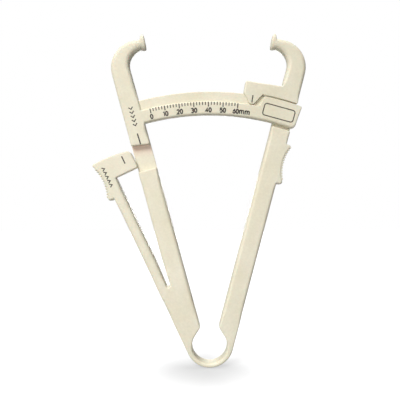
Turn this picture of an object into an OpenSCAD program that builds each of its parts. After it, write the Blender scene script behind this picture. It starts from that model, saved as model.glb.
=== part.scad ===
// Skinfold caliper: a flat plastic caliper with two arms on a sprung ring, hooked jaws,
// a curved millimetre scale and a press lever that shows when the right force is reached.
//
// It lies on its back: +Z comes out of the scale face, +Y points to the jaws and the origin
// is on the hinge axis of the arms, at the back face. Sizes are in millimetres and degrees.
// "Arm frame" means: turned by the arm's lean, with +Y along the arm and +X towards the
// other arm. The right arm is modelled as the mirror image of a left one.

/* [Jaws] */
// Distance from the arms' hinge axis to the middle of the necks at the contact pads
pad_reach = 179.5; // [176:0.5:186]
// Gap between the contact pads with the arms at rest
rest_gap = 69; // [64:0.5:72]
// Diameter of a contact pad
pad_d = 8.8; // [8:0.1:9.6]
// Distance by which the pad's middle lies outward of the neck's middle
pad_rise = 0.6; // [0:0.1:1]
// Width of the rim around a contact pad
pad_rim = 1.9; // [1.5:0.1:2.2]
// Chamfer on both edges of that rim
rim_chamfer = 0.5; // [0.3:0.1:0.7]
// Length of the flare from the neck to the rim of a contact pad
pad_flare = 1.2; // [0.9:0.1:1.6]
// Width of the jaw's neck behind the pad
neck_w = 5.5; // [5:0.1:6]
// Radius of the jaw's outer bend
jaw_bend_outer = 15; // [14:0.5:16]
// Radius of the jaw's inner bend
jaw_bend_inner = 9; // [8.5:0.1:9.5]
// Gap left between the pads when the jaws are fully closed
pad_gap_closed = 0.12; // [0.1:0.01:0.3]

/* [Arms] */
// Thickness of the moulding, from back face to scale face
thick = 6.2; // [5.6:0.1:7]
// Width of each arm
arm_w = 10.3; // [9.8:0.1:11]
// Lean of each arm from the centre line at rest
arm_lean = 15; // [14.8:0.1:15.6]
// How far the inner edge of each arm passes beyond the hinge axis
arm_past_axis = 0.35; // [0:0.05:0.5]
// Distance along the arm from where the jaw starts to the pads' height
jaw_l = 16.5; // [15:0.5:18]

/* [Sprung ring] */
// Inner radius of the ring
ring_r = 9.6; // [9:0.1:10]
// Wall of the ring at its lowest point, through which the hinge axis runs
ring_wall = 2.3; // [2:0.1:3]
// Height above the hinge axis at which the flexing wall meets the arms
ring_top = 8.5; // [7:0.5:9.5]
// Height of the inner corners where the ring's mouth opens between the arms
mouth_y = 20.6; // [20:0.1:22]
// Height at which the mouth's slanted faces meet the ring's bore
mouth_foot = 16.2; // [15.5:0.1:17]

/* [Scale] */
// Distance from the scale's inner edge up to the pads
scale_drop = 42.9; // [41:0.1:45]
// Radial width of the raised, printed band
rail_w = 7.3; // [6.9:0.1:8]
// Radial width of the thin band that the pointer rides over
track_w = 5.7; // [5.2:0.1:6.2]
// How far the thin band lies below the scale face
track_drop = 1.5; // [1.3:0.1:1.8]
// Largest reading printed on the scale
scale_max = 60; // [50:10:60]
// Reading between two neighbouring graduations
tick_step = 2; // [1:1:2]
// Length of a graduation at every 10 mm
tick_long = 2.6; // [2:0.1:3]
// Length of the other graduations
tick_short = 1.7; // [1:0.1:1.9]
// Width of a printed line
line_w = 0.5; // [0.3:0.05:0.6]
// Height of the printed ink above the moulding
ink = 0.06; // [0.05:0.01:0.1]

/* [Guide bridge] */
// Angle between the pointer's line at rest and the start of the bridge
bridge_gap = 1.8; // [1.7:0.1:2.2]
// Angle from the arm's lean at rest to the end of the bridge
bridge_past = 4.9; // [4.6:0.1:5.4]
// Slant of the bridge's left edge above the raised band
bridge_slant = 1.5; // [1:0.1:2]
// Radius of the bridge's lower outer corner
bridge_corner = 2.2; // [1.5:0.1:3]
// Length of the printed border on the bridge
border_l = 17.5; // [15:0.5:18]
// Height of the printed border
border_h = 7; // [6:0.1:7.6]
// Corner radius of the printed border
border_r = 1.4; // [1:0.1:2]
// Distance of the border's middle below the bridge's middle
border_drop = 0.55; // [0.3:0.05:0.9]

/* [Pointer flag] */
// Width of the flag left of its pointer
flag_left = 5; // [4.6:0.1:5.7]
// Height of the flag above the scale's outer edge
flag_h = 6.2; // [5:0.1:7]
// Half width of the pointed tip at its end
tip_half = 1.15; // [0.8:0.05:1.4]
// Half width of the tip where it leaves the flag
tip_root_half = 5.3; // [4.8:0.1:5.6]
// Thickness of the tip where it rides over the thin band
tip_t = 1.2; // [1:0.1:1.3]
// Length of the printed line on the tip
mark_l = 3.8; // [3:0.1:4.2]

/* [Press lever] */
// Angle between the lever and the left arm at rest, which is also the lever's travel
lever_spread = 10.2; // [10:0.1:10.4]
// Width of the lever's beam
lever_w = 5.65; // [5:0.05:6]
// Distance along the lever from the hinge axis to the end of its slot
slot_y = 49.2; // [47:0.1:52]
// Radius of the slot's round end
slot_end_r = 1.1; // [1:0.05:1.2]
// Length over which the slot widens from its round end to the full gap
slot_taper = 15; // [13:0.5:17]
// Length of the lever's flexing root
flex_l = 18; // [17.5:0.5:20]
// Distance from the lower edge of the lever's head up to the scale's inner edge
head_drop = 22.4; // [21.5:0.1:24]
// Height of the head in the middle of the lever's beam
head_h = 12.2; // [11.5:0.1:12.8]
// Radius of the head's upper inner corner
head_corner = 3; // [2:0.1:4]
// How far the pressed head stands past the inner edge of the arm
head_past = 0.5; // [0:0.1:1]
// Clearance between the head's top edge and the upper wall of the arm's recess
head_clear = 2; // [1.5:0.1:2.4]
// Clearance between the pressed head's lower edge and the lower wall of that recess
head_clear_low = 0.6; // [0.4:0.1:1.5]
// Distance of the index line on the head from the lever's inner edge
index_x = 8; // [7:0.1:9.5]
// Distance of the index line from the head's top edge
index_edge = 2.1; // [1.5:0.1:2.5]
// Length of the index line on the head
index_l = 4.4; // [3.5:0.1:5]
// Length of the line on the arm that it is set against
align_l = 6; // [5:0.1:7]

/* [Finger rests] */
// Radius of the hollow in both ribbed rests
rest_r = 23; // [21:0.5:25]
// Height of the finger rest at its lowest, above the right arm's edge
rest_base = 0.5; // [0.4:0.1:1]
// Distance from the finger rest's middle up to the scale's inner edge
rest_drop = 19.5; // [18.5:0.1:21]
// Length of the finger rest below its middle
rest_below = 12; // [11:0.1:12.5]
// Length of the finger rest above its middle
rest_above = 10.1; // [9:0.1:10.5]
// Height of the thumb rest at its lowest, above the lever's edge
thumb_base = 1.1; // [0.8:0.1:1.4]
// Height of the thumb rest's middle above the head's lower edge
thumb_rise = 1.4; // [1:0.1:1.8]
// Length of the thumb rest below its middle
thumb_below = 11.4; // [10.5:0.1:12]
// Length of the thumb rest above its middle
thumb_above = 8.7; // [8:0.1:9.2]
// Rounding of the rests' lower ends
rest_end_r = 1.5; // [1.2:0.1:1.8]
// Distance between two ribs of a rest
rib_pitch = 1.5; // [1.3:0.1:2]
// Radius of the groove between two ribs
rib_groove_r = 0.35; // [0.25:0.05:0.4]
// Number of grooves on each side of a rest's middle
rib_side_count = 6; // [4:1:7]

/* [Running clearances] */
// Gap between the halves of the thickness that slide over each other
slide_gap = 0.3; // [0.2:0.05:0.4]
// Gap between the scale's outer edge and the flag
rail_clear = 0.6; // [0.4:0.05:0.8]
// Gap between the scale's inner edge and the lower wall of the right arm's recess
recess_clear = 1.7; // [1:0.1:2]
// Gap between the raised band and the pointer's tip
tip_clear = 0.3; // [0.2:0.05:0.4]
// Gap between the flag and the left arm with the jaws closed
flag_clear = 0.3; // [0.2:0.05:0.5]

/* [Hidden] */

IVORY = [0.88, 0.85, 0.76];
IVORY_SHADE = [0.84, 0.81, 0.72];
INK = [0.16, 0.13, 0.10];
OVER = 1;        // how far a cutting shape reaches past what it cuts
FAR = 400;       // larger than the whole caliper
FLARE_SHARE = 0.2;  // share of the pad's flare that is reached halfway to its rim
$fn = 96;

// Angle about the hinge axis that opens the pads by a given reading
function reading_angle(reading) = 2 * asin(reading / 2 / pad_reach);
jaw_travel = reading_angle(rest_gap);
pad_angle = arm_lean - jaw_travel / 2;
arm_out = arm_w - arm_past_axis;

// Thickness is shared by a back half, which is what the recesses leave, and a front half
front_z = thick / 2 + slide_gap / 2;
recess_z = front_z - slide_gap;
track_z = thick - track_drop;

// The ring's outer circle touches the outer edges of both arms
ring_y = ring_r + ring_wall / 2;
ring_outer_r = (arm_out - ring_wall / 2 * sin(arm_lean)) / (1 - sin(arm_lean));
ring_outer_y = ring_outer_r - ring_wall / 2;

// The scale lies below the pads, and the rests and the lever's head below the scale
jaw_root = pad_reach - jaw_l;
rail_r = pad_reach - scale_drop;
rail_top_r = rail_r + rail_w;
scale_r = rail_top_r + track_w;
flag_foot = scale_r + rail_clear;

// At zero the flag nearly touches the left arm; at rest the pointer is a full travel further right
zero_lean = arm_lean - asin((flag_left + arm_past_axis + flag_clear) / flag_foot);
pointer_lean = jaw_travel - zero_lean;
bridge_start = pointer_lean + bridge_gap;
bridge_end = arm_lean + bridge_past;

// Lever, in the frame that leans with it
lever_lean = arm_lean + lever_spread;
lever_out = ring_outer_r - ring_outer_y * sin(lever_lean);
lever_in = lever_out - lever_w;
slot_x = (-lever_in + arm_outer_edge_x(slot_y)) / 2;
flex_end = slot_y + flex_l;
pivot = [-(lever_out + lever_in) / 2, slot_y + flex_l / 2];
head_y = rail_r - head_drop;
head_top_r = head_y + head_h - pivot[1];
head_right = pivot[0] + arm_past_axis + head_past - arm_frame(pivot)[0];
head_recess_r = head_top_r + head_clear;
head_recess_y = head_y - pivot[1] + arm_frame(pivot)[1] - head_clear_low;
rest_y = rail_r - rest_drop;
thumb_y = head_y + thumb_rise;
thumb_end = thumb_y + thumb_above;

// Jaw, in the arm frame: the neck points straight at the pad's face
pad_mid = [pad_reach * sin(pad_angle), pad_reach * cos(pad_angle)];
pad_l = pad_rim + pad_flare;
bend_outer = [jaw_bend_outer - arm_out, neck_side(jaw_bend_outer - arm_out, 1) - jaw_bend_outer];
bend_inner = [jaw_bend_inner + arm_past_axis,
              neck_side(jaw_bend_inner + arm_past_axis, -1) - jaw_bend_inner];

// Point of the lever frame seen in the left arm's frame
function arm_frame(p) = turned(p, lever_spread);
function turned(p, a) = [p[0] * cos(a) - p[1] * sin(a), p[0] * sin(a) + p[1] * cos(a)];
// Where the left arm's outer edge lies in the lever frame, at a distance y along the lever
function arm_outer_edge_x(y) = (-arm_out + y * sin(lever_spread)) / cos(lever_spread);
// Height of the neck's upper (+1) or lower (-1) side in the arm frame, at a distance x from the arm
function neck_side(x, side) =
    pad_mid[1] + (pad_mid[0] - x) * tan(pad_angle) + side * neck_w / 2 / cos(pad_angle);
// Where the arm's inner edge crosses the pointer frame's height y
function arm_inner_x(y) =
    (-arm_past_axis + y * sin(arm_lean - pointer_lean)) / cos(arm_lean - pointer_lean);

module left_frame() { rotate(arm_lean) children(); }
module right_frame() { mirror([1, 0, 0]) rotate(arm_lean) children(); }
module lever_frame() { rotate(lever_lean) children(); }
module pointer_frame() { rotate(-pointer_lean) children(); }
module slab(from, to) { translate([0, 0, from]) linear_extrude(to - from) children(); }

// ---- arms ----

// Bar between the ring and the jaw, in the arm frame
module arm_outline() {
    translate([-arm_out, 0]) square([arm_w, jaw_root]);
}

// Mouth of the ring: slanted faces from the arms' inner edges out to the bore
module mouth_outline() {
    corner = (mouth_y * sin(arm_lean) - arm_past_axis) / cos(arm_lean);
    foot = sqrt(pow(ring_r, 2) - pow(mouth_foot - ring_y, 2));
    polygon([[-corner, mouth_y], [corner, mouth_y], [foot, mouth_foot], [-foot, mouth_foot]]);
}

// Arms end at the flexing wall below, and give way to the ring's bore and mouth
module arm_foot_cut() {
    translate([-FAR / 2, ring_top - FAR]) square(FAR);
    translate([0, ring_y]) circle(ring_r);
    mouth_outline();
}

// Corner between the arm and the lever, from the ring up to the slot, in the lever frame
module lever_root_outline() {
    far_x = arm_outer_edge_x(slot_y) + OVER;
    polygon([[-lever_out, 0], [far_x, 0], [far_x, slot_y], [-lever_out, slot_y]]);
}

module slot_outline() {
    end = slot_y + slot_taper;
    translate([slot_x, slot_y]) circle(slot_end_r);
    polygon([[slot_x - slot_end_r, slot_y], [slot_x + slot_end_r, slot_y],
             [max(arm_outer_edge_x(end), slot_x + slot_end_r), end],
             [-lever_in, end]]);
}

module left_arm() {
    color(IVORY) difference() {
        slab(0, thick) difference() {
            union() {
                left_frame() arm_outline();
                lever_frame() lever_root_outline();
            }
            arm_foot_cut();
            lever_frame() slot_outline();
        }
        head_recess();
    }
}

// Front half of the left arm, where the head comes to lie
module head_recess() {
    slab(recess_z, thick + OVER) intersection() {
        lever_frame() translate(pivot) circle(head_recess_r);
        left_frame() translate([-FAR / 2, head_recess_y]) square(FAR);
    }
}

module right_arm() {
    color(IVORY) difference() {
        slab(0, thick) difference() {
            right_frame() arm_outline();
            arm_foot_cut();
        }
        scale_recess();
    }
}

// Front half of the right arm, which the scale and its bridge pass through
module scale_recess() {
    slab(recess_z, thick + OVER) difference() {
        circle(flag_foot);
        circle(rail_r - recess_clear);
    }
}

// The ring's wall below the arms: between two circles, thinnest at the hinge axis
module spring_hinge() {
    color(IVORY_SHADE) slab(0, thick) difference() {
        intersection() {
            union() {
                translate([0, ring_outer_y]) circle(ring_outer_r);
                ring_shoulders();
            }
            translate([-FAR / 2, ring_top - FAR]) square(FAR);
        }
        translate([0, ring_y]) circle(ring_r);
    }
}

// Between the outer circle and the straight outer edge of the lever's root, below the arms
module ring_shoulders() {
    touch = turned([-lever_out, ring_outer_y * cos(lever_lean)], lever_lean);
    top = (-lever_out - ring_top * sin(lever_lean)) / cos(lever_lean);
    polygon([touch, [0, touch[1]], [0, ring_top], [top, ring_top]]);
}

// ---- jaws ----

// Hook from the arm to the neck, in the arm frame
module jaw_outline() {
    difference() {
        union() {
            translate([-arm_out, jaw_root]) square([arm_w, bend_outer[1] - jaw_root]);
            intersection() {
                translate(bend_outer) circle(jaw_bend_outer);
                translate([-FAR + bend_outer[0], bend_outer[1]]) square(FAR);
            }
            polygon([bend_outer, [pad_mid[0], bend_outer[1]], [pad_mid[0], neck_side(pad_mid[0], 1)],
                     [bend_outer[0], neck_side(bend_outer[0], 1)]]);
        }
        translate(bend_inner) circle(jaw_bend_inner);
        translate([arm_past_axis, jaw_root - OVER]) square([FAR, bend_inner[1] - jaw_root + OVER]);
        polygon([[bend_inner[0], bend_inner[1] - OVER], [FAR, bend_inner[1] - OVER],
                 [FAR, neck_side(FAR, -1)], [bend_inner[0], neck_side(bend_inner[0], -1)]]);
        pad_space();
    }
}

// Everything beyond the neck's end, where the pad is
module pad_space() {
    translate(pad_mid) rotate(-pad_angle) translate([-pad_l, -FAR / 2]) square(FAR);
}

module jaw() { color(IVORY) slab(0, thick) jaw_outline(); }

// Round pad on a flare, cut level with the faces of the moulding
module contact_pad() {
    face = -pad_gap_closed / 2;
    rim = pad_d / 2;
    flare_waist = neck_w / 2 + FLARE_SHARE * (rim - neck_w / 2);
    color(IVORY) intersection() {
        translate([pad_mid[0], pad_mid[1], thick / 2]) rotate(-pad_angle)
            translate([0, pad_rise, 0]) rotate([0, 90, 0]) translate([0, 0, -pad_l]) rotate_extrude()
                polygon([[0, 0], [neck_w / 2, 0], [flare_waist, pad_flare / 2],
                         [rim - rim_chamfer, pad_flare], [rim, pad_flare + rim_chamfer],
                         [rim, pad_l + face - rim_chamfer], [rim - rim_chamfer, pad_l + face],
                         [0, pad_l + face]]);
        translate([pad_mid[0] - FAR / 2, pad_mid[1] - FAR / 2, 0]) cube([FAR, FAR, thick]);
    }
}

module left_jaw() { left_frame() jaw(); }
module right_jaw() { right_frame() jaw(); }
module left_contact_pad() { left_frame() contact_pad(); }
module right_contact_pad() { right_frame() contact_pad(); }

// ---- scale ----

// Part of a ring about the hinge axis between two angles right of the centre line
module sector(from, to, r1, r2, z1, z2) {
    rotate(90 - to) rotate_extrude(angle = to - from) translate([r1, z1]) square([r2 - r1, z2 - z1]);
}

// What lies left of the left arm's inner edge
module beyond_left_arm() {
    left_frame() translate([arm_past_axis - FAR, 0, -OVER]) cube([FAR, FAR, thick + 2 * OVER]);
}

module scale_rail() {
    color(IVORY) difference() {
        sector(-arm_lean - OVER, bridge_start, rail_r, rail_top_r, front_z, thick);
        beyond_left_arm();
    }
}

module pointer_track() {
    color(IVORY_SHADE) difference() {
        sector(-arm_lean - OVER, bridge_start, rail_top_r, scale_r, front_z, track_z);
        beyond_left_arm();
    }
}

// Plate in front of the right arm; its left edge slants above the raised band
module guide_bridge() {
    color(IVORY) difference() {
        sector(bridge_start, bridge_end, rail_r, scale_r, front_z, thick);
        rotate(-bridge_start) slab(track_z, thick + OVER)
            polygon([[-OVER, rail_top_r], [0, rail_top_r], [bridge_slant, scale_r],
                     [bridge_slant, scale_r + OVER], [-OVER, scale_r + OVER]]);
        rotate(-bridge_end) translate([-bridge_corner, rail_r, 0]) slab(0, thick + OVER) difference() {
            translate([0, -OVER]) square([bridge_corner + OVER, bridge_corner + OVER]);
            translate([0, bridge_corner]) circle(bridge_corner);
        }
    }
}

module tick(reading) {
    l = reading % 10 == 0 ? tick_long : tick_short;
    rotate(zero_lean - reading_angle(reading))
        translate([-line_w / 2, rail_top_r - line_w - l, thick]) cube([line_w, l, ink]);
}

module scale_ticks() {
    color(INK) for (reading = [0:tick_step:scale_max]) tick(reading);
}

module rounded_box(l, h, r) {
    square([l - 2 * r, h], center = true);
    square([l, h - 2 * r], center = true);
    for (x = [-1, 1], y = [-1, 1]) translate([x * (l / 2 - r), y * (h / 2 - r)]) circle(r);
}

module bridge_border() {
    mid_lean = (bridge_start + bridge_end) / 2;
    color(INK) rotate(-mid_lean) translate([0, (rail_r + scale_r) / 2 - border_drop])
        slab(thick, thick + ink)
        difference() {
            rounded_box(border_l, border_h, border_r);
            rounded_box(border_l - 2 * line_w, border_h - 2 * line_w, border_r - line_w);
        }
}

module align_mark() {
    index = arm_frame(turned(index_point() - pivot, -lever_spread) + pivot);
    wall = index_wall(index[0]);
    color(INK) left_frame() translate([index[0] - line_w / 2, wall + line_w, thick])
        cube([line_w, align_l, ink]);
}

// Middle of the index line, in the lever frame
function index_point() =
    [-lever_in + index_x, pivot[1] + sqrt(pow(head_top_r, 2) - pow(index_x - lever_in - pivot[0], 2))
                          - index_edge - index_l / 2];
// Height of the recess's upper wall in the arm frame, at a distance x from the hinge axis
function index_wall(x) =
    arm_frame(pivot)[1] + sqrt(pow(head_recess_r, 2) - pow(x - arm_frame(pivot)[0], 2));

// ---- pointer ----

// Block level with the arm above the scale, in the pointer frame; its foot follows the scale's arc
module flag_outline() {
    top = flag_foot + flag_h;
    low = flag_foot - OVER;
    difference() {
        polygon([[-flag_left, low], [arm_inner_x(low), low], [arm_inner_x(top), top], [-flag_left, top]]);
        circle(flag_foot);
    }
}

// Pointed tip over the thin band, in the pointer frame
module tip_outline() {
    end = rail_top_r + tip_clear;
    polygon([[-tip_half, end], [tip_half, end], [tip_root_half, flag_foot], [-flag_left, flag_foot],
             [-flag_left, flag_foot - rail_clear]]);
}

module pointer_flag() {
    color(IVORY) pointer_frame() {
        slab(0, thick) flag_outline();
        slab(thick - tip_t, thick) tip_outline();
    }
}

module pointer_mark() {
    color(INK) pointer_frame() translate([-line_w / 2, rail_top_r + tip_clear + 2 * line_w, thick])
        cube([line_w, mark_l, ink]);
}

// ---- rests ----

// Ribbed hollow edge: a block against the bar's edge at x = -edge, hollowed by a large circle
module rest_outline(edge, base, mid, below, above) {
    tip = sqrt(pow(rest_r, 2) - pow(below - rest_end_r, 2));
    outer = edge + base + rest_r - tip;
    hollow = [-edge - base - rest_r, mid];
    difference() {
        union() {
            translate([-outer, mid - below + rest_end_r])
                square([outer - edge, above + below - rest_end_r]);
            translate([-outer + rest_end_r, mid - below])
                square([outer - rest_end_r - edge, rest_end_r + OVER]);
            translate([-outer + rest_end_r, mid - below + rest_end_r]) circle(rest_end_r);
        }
        translate([-edge, mid - FAR / 2]) square(FAR);
        translate(hollow) circle(rest_r);
        for (i = [-rib_side_count:rib_side_count]) {
            turn = i * rib_pitch / rest_r * 180 / PI;
            translate(hollow + rest_r * [cos(turn), sin(turn)]) circle(rib_groove_r);
        }
    }
}

module finger_rest() {
    color(IVORY_SHADE) right_frame() slab(0, thick)
        rest_outline(arm_out, rest_base, rest_y, rest_below, rest_above);
}

// The thumb rest lies behind the head's plate where the two share its edge
module thumb_rest() {
    color(IVORY_SHADE) lever_frame() difference() {
        slab(0, thick) rest_outline(lever_out, thumb_base, thumb_y, thumb_below, thumb_above);
        translate([-FAR / 2, head_y, front_z]) cube([FAR, FAR, thick]);
    }
}

// ---- press lever ----

// Flexing root of the beam, beside the slot's round end
module lever_flexure() {
    color(IVORY_SHADE) lever_frame() slab(0, thick) difference() {
        translate([-lever_out, slot_y]) square([lever_w, flex_l]);
        slot_outline();
    }
}

// Beam up to the head, and its back half behind the head
module press_beam() {
    color(IVORY) lever_frame() {
        slab(0, thick) translate([-lever_out, flex_end]) square([lever_w, head_y - flex_end]);
        slab(0, front_z) translate([-lever_out, flex_end]) square([lever_w, thumb_end - flex_end]);
    }
}

module head_outline() {
    hollow = [-lever_out - thumb_base - rest_r, thumb_y];
    corner_x = head_right - head_corner;
    corner_y = pivot[1] + sqrt(pow(head_top_r - head_corner, 2) - pow(corner_x - pivot[0], 2));
    corner_a = atan2(corner_y - pivot[1], corner_x - pivot[0]);
    difference() {
        intersection() {
            translate(pivot) circle(head_top_r);
            union() {
                translate([-FAR / 2, head_y]) square([FAR / 2 + corner_x, FAR]);
                translate([corner_x - OVER, head_y]) square([head_corner + OVER, corner_y - head_y]);
                translate([corner_x, corner_y]) circle(head_corner);
                polygon([[corner_x - OVER, corner_y], [corner_x, corner_y],
                         [corner_x, corner_y] + 2 * head_corner * [cos(corner_a), sin(corner_a)],
                         [corner_x - OVER, corner_y + 2 * head_corner]]);
            }
        }
        translate([hollow[0] - FAR, head_y - OVER]) square([FAR, FAR]);
        translate(hollow) circle(rest_r);
    }
}

module press_head() { color(IVORY) lever_frame() slab(front_z, thick) head_outline(); }

module press_mark() {
    p = index_point();
    color(INK) lever_frame() translate([p[0] - line_w / 2, p[1] - index_l / 2, thick])
        cube([line_w, index_l, ink]);
}

left_arm();
left_jaw();
left_contact_pad();
scale_rail();
pointer_track();
guide_bridge();
spring_hinge();
lever_flexure();
scale_ticks();
align_mark();
bridge_border();
right_arm();
right_jaw();
right_contact_pad();
pointer_flag();
pointer_mark();
finger_rest();
press_beam();
press_head();
thumb_rest();
press_mark();
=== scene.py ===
import bpy
import bmesh
import math
from mathutils import Matrix, Vector
from mathutils.geometry import delaunay_2d_cdt


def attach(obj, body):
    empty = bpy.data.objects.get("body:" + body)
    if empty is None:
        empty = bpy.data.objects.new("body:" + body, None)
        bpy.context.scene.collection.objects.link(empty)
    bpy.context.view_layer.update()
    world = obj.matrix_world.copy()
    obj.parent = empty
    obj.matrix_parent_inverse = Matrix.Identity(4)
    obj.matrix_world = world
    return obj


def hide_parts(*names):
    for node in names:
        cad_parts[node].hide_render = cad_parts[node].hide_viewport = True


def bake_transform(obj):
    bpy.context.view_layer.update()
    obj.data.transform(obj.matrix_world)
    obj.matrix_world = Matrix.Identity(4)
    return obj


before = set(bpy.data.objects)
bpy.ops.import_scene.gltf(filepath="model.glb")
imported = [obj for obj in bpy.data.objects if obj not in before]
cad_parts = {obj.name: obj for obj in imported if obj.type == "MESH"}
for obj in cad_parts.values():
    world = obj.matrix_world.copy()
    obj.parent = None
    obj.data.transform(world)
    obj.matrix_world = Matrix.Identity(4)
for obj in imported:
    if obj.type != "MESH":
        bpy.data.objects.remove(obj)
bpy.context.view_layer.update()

# ---------------------------------------------------------------- sizes (mm, degrees)
MM = 0.001
T = 6.2                      # thickness
BACK, FRONT = 2.95, 3.25     # recess floors, and the underside of what passes in front
TRACK, TIP = 4.7, 5.0        # top of the thin band, underside of the pointer's tip
LEAN = 15.0                  # of the arms
LEVER = 25.2                 # of the lever
OUT, PAST = 9.95, 0.35       # arm's outer and inner edge from the hinge axis
PAD_R, GAP = 179.5, 69.0     # the pads' distance from the hinge axis, and the gap between them at rest
TRAVEL = 2 * math.degrees(math.asin(GAP / 2 / PAD_R))
PAD_A = LEAN - TRAVEL / 2
RAIL, RAIL_TOP, SCALE = 136.6, 143.9, 149.6   # radii: raised band from and to, and the thin band's outer edge
FOOT = SCALE + 0.6           # radius of the flag's foot
FLAG_L, FLAG_TOP = 5.0, 156.4
TIP_ROOT = 5.3               # half width of the pointed tip where it leaves the flag
TIP_END = 1.15               # and at its end
ZERO = LEAN - math.degrees(math.asin((FLAG_L + PAST + 0.3) / FOOT))
POINTER = TRAVEL - ZERO
BR0, BR1 = POINTER + 1.8, LEAN + 4.9          # where the bridge starts and ends
HALF_WALL = 1.15             # half of the ring's wall, at the hinge axis
RING_R = 9.6
RING_Y = RING_R + HALF_WALL
RING_TOP = 8.5               # where the flexing wall meets the arms
MOUTH_Y, MOUTH_FOOT = 20.6, 16.2              # where the ring's mouth leaves the arms and meets the bore
# The ring's outer circle, which the outer edges of the arm and the lever touch, and the lever's two edges
O2_R = (OUT - HALF_WALL * math.sin(math.radians(LEAN))) / (1 - math.sin(math.radians(LEAN)))
O2_Y = O2_R - HALF_WALL
L_OUT = O2_R - O2_Y * math.sin(math.radians(LEVER))
L_IN = L_OUT - 5.65
SLOT_Y, SLOT_R = 49.2, 1.1   # round end of the slot beside the lever
FLEX_END = SLOT_Y + 18
HEAD_Y = RAIL - 22.4
REST_R = 23.0                # radius of the rests' hollows
THUMB_Y = HEAD_Y + 1.4       # middle of the thumb rest's hollow
FINGER_Y = 117.1             # middle of the finger rest's hollow
FINGER_LOW, FINGER_TOP = FINGER_Y - 12, FINGER_Y + 10.1
REST_LOW = RAIL - 1.7        # radius of the right arm's lower recess wall
PIV = (-(L_OUT + L_IN) / 2, (SLOT_Y + FLEX_END) / 2)     # the lever's hinge, in the lever's frame
HEAD_R = HEAD_Y + 12.2 - PIV[1]               # end of its head, about that hinge
JAW_Y = 163.0                # where the jaws start
BEND_OUT, BEND_IN = 15.0, 9.0                 # radii of a jaw's bends
PAD_L = 3.1                  # length of a pad
NECK = 2.75                  # half width of the neck behind it

# roundings of edges
EDGE_T, EDGE_B = 0.85, 0.6   # front and back edges
EDGE_ARM = 1.8               # long edges of the arms and the lever
EDGE_REST = 1.3              # rests
EDGE_BORE = 1.3              # ring's inner edge, at the bottom
EDGE_RAIL = 1.35             # scale's lower edge
EDGE_SEAM = 0.4              # edges along the seam between flag and bridge
EDGE_NECK = 2.5              # necks of the jaws, which are round
CORNER = 0.95                # usual fillet of a corner in plan

# Stretches along an arm or the lever over which the rounding of an edge changes
ARM_STARTS, ARM_ENDS = (24, 34), (128, 133)
REST_STARTS, REST_TIP, REST_ENDS = (101, 105), (121, 125), (127, 130)
BORE_FADES = (7, 13)
LEVER_STARTS = (SLOT_Y, 60)
NECK_STARTS = (155, 176)


def rot(p, a):
    a = math.radians(a)
    return (p[0] * math.cos(a) - p[1] * math.sin(a), p[0] * math.sin(a) + p[1] * math.cos(a))


# L, R, V and P place a point of the left arm's, right arm's, lever's or pointer's frame, and to_L and so on
# go back.
def L(x, y):
    return rot((x, y), LEAN)


def R(x, y):
    p = rot((x, y), LEAN)
    return (-p[0], p[1])


def V(x, y):
    return rot((x, y), LEVER)


def P(x, y):
    return rot((x, y), -POINTER)


def pol(r, phi):
    """Point at distance r from the hinge axis, phi degrees to the right of the centre line."""
    phi = math.radians(phi)
    return (r * math.sin(phi), r * math.cos(phi))


def to_L(p):
    return rot(p, -LEAN)


def to_R(p):
    return rot((-p[0], p[1]), -LEAN)


def to_V(p):
    return rot(p, -LEVER)


def to_P(p):
    return rot(p, POINTER)


O = (0.0, 0.0)               # the ring's hinge
Q = V(*PIV)                  # the lever's hinge
Q_ARM = to_L(Q)              # the same in the left arm's frame
SPREAD = math.radians(LEVER - LEAN)


def arm_edge_x(y):
    """Where the left arm's outer edge lies in the lever's frame, at height y."""
    return (-OUT + y * math.sin(SPREAD)) / math.cos(SPREAD)


SLOT_X = (-L_IN + arm_edge_x(SLOT_Y)) / 2


def on_circle_y(c, r, x):
    """Upper crossing of the circle with a line x = const."""
    return c[1] + math.sqrt(r * r - (x - c[0]) ** 2)


def height_on(r, x):
    """Height of the circle of radius r about the hinge axis at a distance x from a line through that axis."""
    return on_circle_y(O, r, x)


# ---------------------------------------------------------------- outlines
# An outline is walked with the solid on its left. It is a list of corners (point, fillet), each followed by
# the edge that leaves it: None for a straight one, or (centre, +1 anticlockwise / -1 clockwise) for an arc.

def sub(a, b):
    return (a[0] - b[0], a[1] - b[1])


def unit(v):
    d = math.hypot(*v)
    return (v[0] / d, v[1] / d)


def tangent(edge, a, b, at):
    if edge is None:
        return unit(sub(b, a))
    v = unit(sub(at, edge[0]))
    return (-v[1] * edge[1], v[0] * edge[1])


def crossings(g1, g2):
    """Crossings of two offset edges, each ('l', point, direction) or ('c', centre, radius)."""
    if g1[0] == "c" and g2[0] == "l":
        return crossings(g2, g1)
    if g1[0] == "l" and g2[0] == "l":
        (p, d), (q, e) = g1[1:], g2[1:]
        w, cr = sub(q, p), d[0] * e[1] - d[1] * e[0]
        t = (w[0] * e[1] - w[1] * e[0]) / cr
        return [(p[0] + t * d[0], p[1] + t * d[1])]
    if g1[0] == "l":
        (p, d), (c, r) = g1[1:], g2[1:]
        w = sub(c, p)
        along = w[0] * d[0] + w[1] * d[1]
        off = w[0] * d[1] - w[1] * d[0]
        h = math.sqrt(max(r * r - off * off, 0))
        return [(p[0] + (along + k) * d[0], p[1] + (along + k) * d[1]) for k in (-h, h)]
    (c, r), (e, s) = g1[1:], g2[1:]
    w = sub(e, c)
    d = math.hypot(*w)
    a = (r * r - s * s + d * d) / (2 * d)
    h = math.sqrt(max(r * r - a * a, 0))
    m = (c[0] + a * w[0] / d, c[1] + a * w[1] / d)
    return [(m[0] - k * w[1] / d, m[1] + k * w[0] / d) for k in (-h, h)]


STRAIGHT_STEP = 3.0          # longest step along a straight edge
ARC_STEP, ARC_SAG = 9, 0.02  # largest turn between two points of an arc, and about how far its chord may sag


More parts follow.
